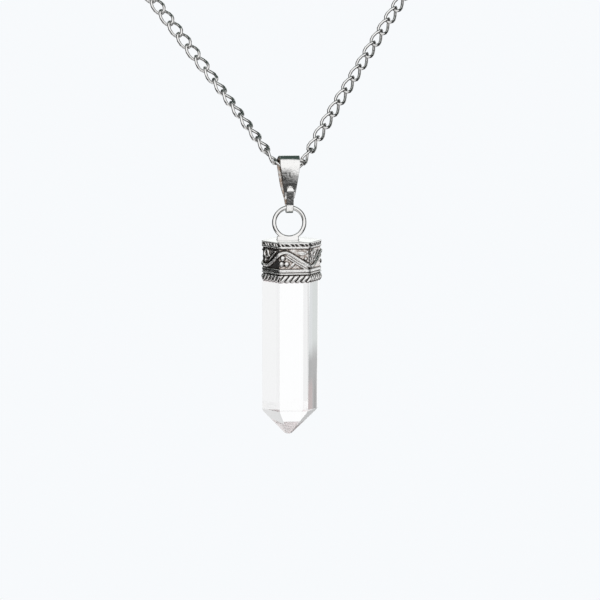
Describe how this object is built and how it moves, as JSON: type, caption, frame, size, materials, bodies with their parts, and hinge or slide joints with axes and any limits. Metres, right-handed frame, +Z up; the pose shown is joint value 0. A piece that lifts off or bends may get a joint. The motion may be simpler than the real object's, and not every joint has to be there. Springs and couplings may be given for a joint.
{
  "type": "crystal point pendant necklace",
  "caption": "Six-sided clear quartz point in an antiqued silver cap, hung by a ring and folded bail from a fine curb chain.",
  "frame": {"origin": "the nape: the middle of the clasp at the back of the neck, where the necklace hangs from", "axes": "+Z up, the pendant hangs towards -Z at the front, -Y is the front, +X is to the right as seen from the front"},
  "size_m": [0.1134, 0.112, 0.1394],
  "materials": {
    "chain_silver": "bright polished silver",
    "bail_silver": "polished silver sheet",
    "old_silver": "cast silver, blackened in the recesses",
    "quartz": "polished clear quartz"
  },
  "bodies": {
    "necklace": {"chain_left": "chain_silver", "chain_right": "chain_silver", "clasp": "chain_silver"},
    "bail": {"bail": "bail_silver"},
    "pendant": {"cap": "old_silver", "crystal": "quartz"}
  },
  "joints": [
    {"name": "bail_swing", "type": "hinge", "parent": "necklace", "child": "bail", "pos_m": [0, -0.10585, -0.0917], "axis": [1, 0, 0], "range_deg": [-90, 90]},
    {"name": "pendant_swing", "type": "hinge", "parent": "bail", "child": "pendant", "pos_m": [0, -0.10585, -0.0989], "axis": [1, 0, 0], "range_deg": [-90, 90]}
  ]
}
